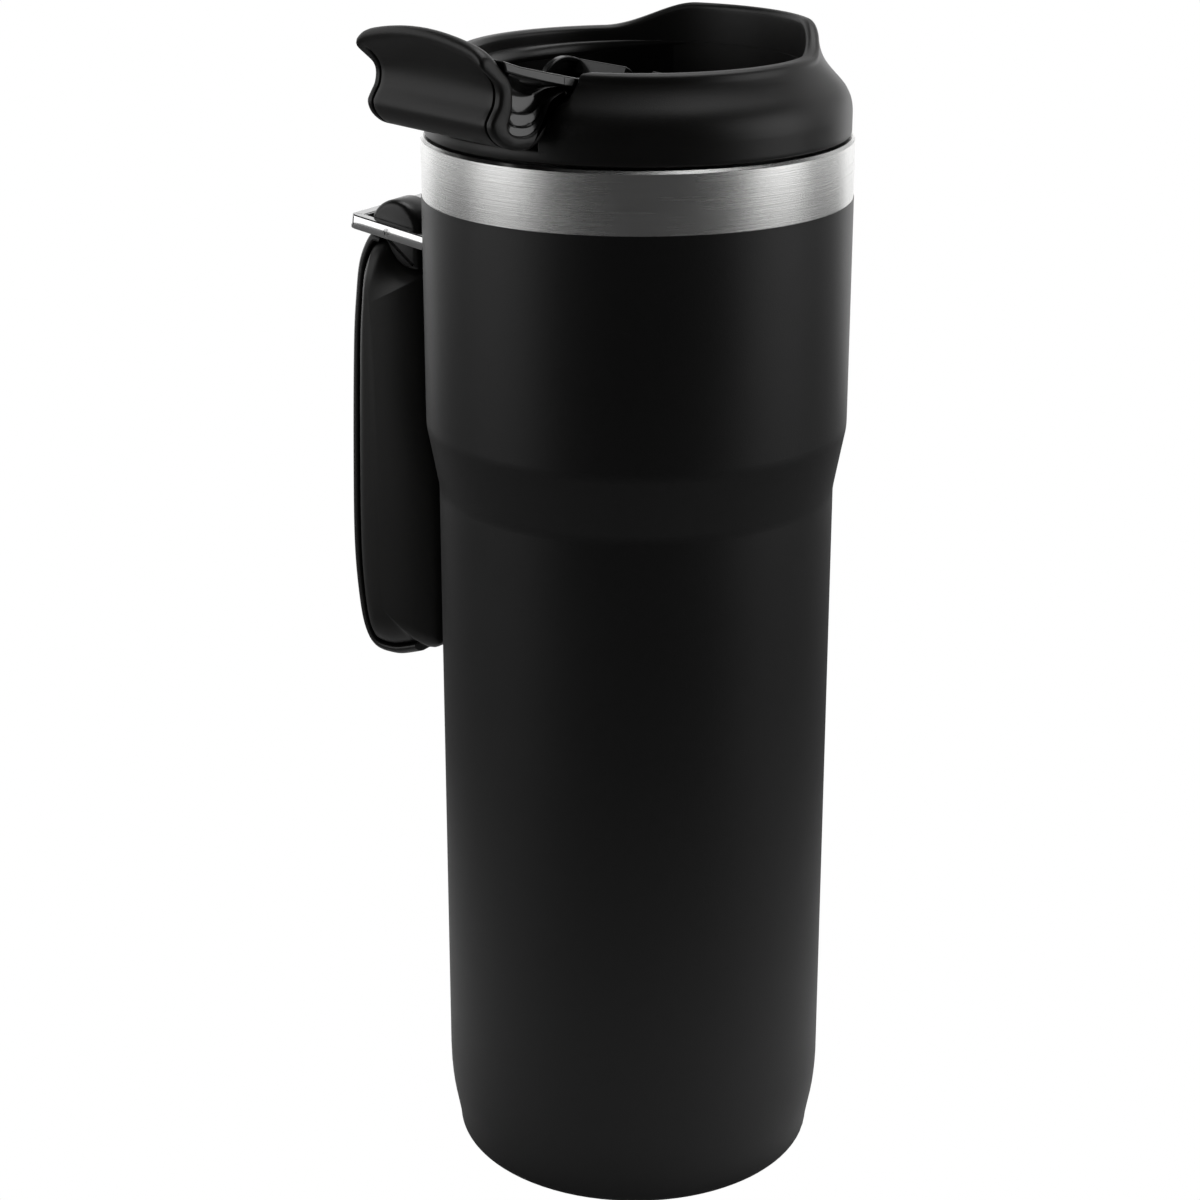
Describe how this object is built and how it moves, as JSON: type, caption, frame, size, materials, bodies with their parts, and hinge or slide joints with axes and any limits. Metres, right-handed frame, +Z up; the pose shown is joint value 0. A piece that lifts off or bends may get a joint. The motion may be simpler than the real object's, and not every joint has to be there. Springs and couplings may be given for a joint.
{
  "type": "insulated travel mug",
  "caption": "Vacuum-insulated travel mug with a stepped body, a screw-in sip lid with a flip-up thumb lever, and a fold-out handle.",
  "frame": {"origin": "centre of the flat base", "axes": "+Z up the cup's axis, -Y towards the drinking lip, +Y towards the thumb lever"},
  "size_m": [0.0993, 0.087, 0.223],
  "materials": {
    "powder_coat": "fine matte powder coat",
    "brushed_steel": "brushed round the mouth",
    "liner_steel": "satin drawn steel",
    "bracket_steel": "satin black",
    "matte_black": "fine moulded texture",
    "satin_black": "smooth satin moulding",
    "gloss_black": "polished moulding",
    "silicone": "soft food-grade silicone",
    "screw_steel": "plain stainless",
    "chrome": "bright polish",
    "grip_black": "soft-touch moulding",
    "grip_band": "satin band"
  },
  "bodies": {
    "cup": {"outer_shell": "powder_coat", "mouth_band": "brushed_steel", "inner_liner": "liner_steel", "base_plate": "powder_coat", "vacuum_seal": "liner_steel", "handle_bracket": "bracket_steel"},
    "lid": {"lid_shell": "matte_black", "well_dish": "satin_black", "hinge_housing": "gloss_black", "lid_plug": "satin_black", "lid_gasket": "silicone", "lid_screws": "screw_steel", "lever_axle": "screw_steel", "valve_spring": "screw_steel"},
    "lever": {"lever_shell": "matte_black", "lever_frame": "gloss_black", "lever_screws": "screw_steel"},
    "valve": {"valve_stem": "gloss_black", "valve_disc": "satin_black", "valve_seal": "silicone"},
    "handle": {"handle_ring": "chrome", "handle_pin": "screw_steel", "grip_core": "gloss_black", "grip_shell_left": "grip_black", "grip_shell_right": "grip_black", "grip_spine": "grip_band", "grip_screws": "screw_steel"}
  },
  "joints": [
    {"name": "lid_lift", "type": "slide", "parent": "cup", "child": "lid", "axis": [0, 0, 1], "range_m": [0, 0.05]},
    {"name": "lever_flip", "type": "hinge", "parent": "lid", "child": "lever", "pos_m": [0, 0.0023, 0.2064], "axis": [1, 0, 0], "range_deg": [0, 80]},
    {"name": "valve_slide", "type": "slide", "parent": "lid", "child": "valve", "axis": [0, 0, 1], "range_m": [-0.0021, 0], "deforming": ["valve_spring"]},
    {"name": "handle_swing", "type": "hinge", "parent": "cup", "child": "handle", "pos_m": [0.04364, 0.01546, 0.1799], "axis": [0.3338, -0.9426, 0], "range_deg": [0, 80]}
  ],
  "couplings": [
    {"joint": "valve_slide", "follows": "lever_flip", "m_per_rad": -0.0014324}
  ]
}
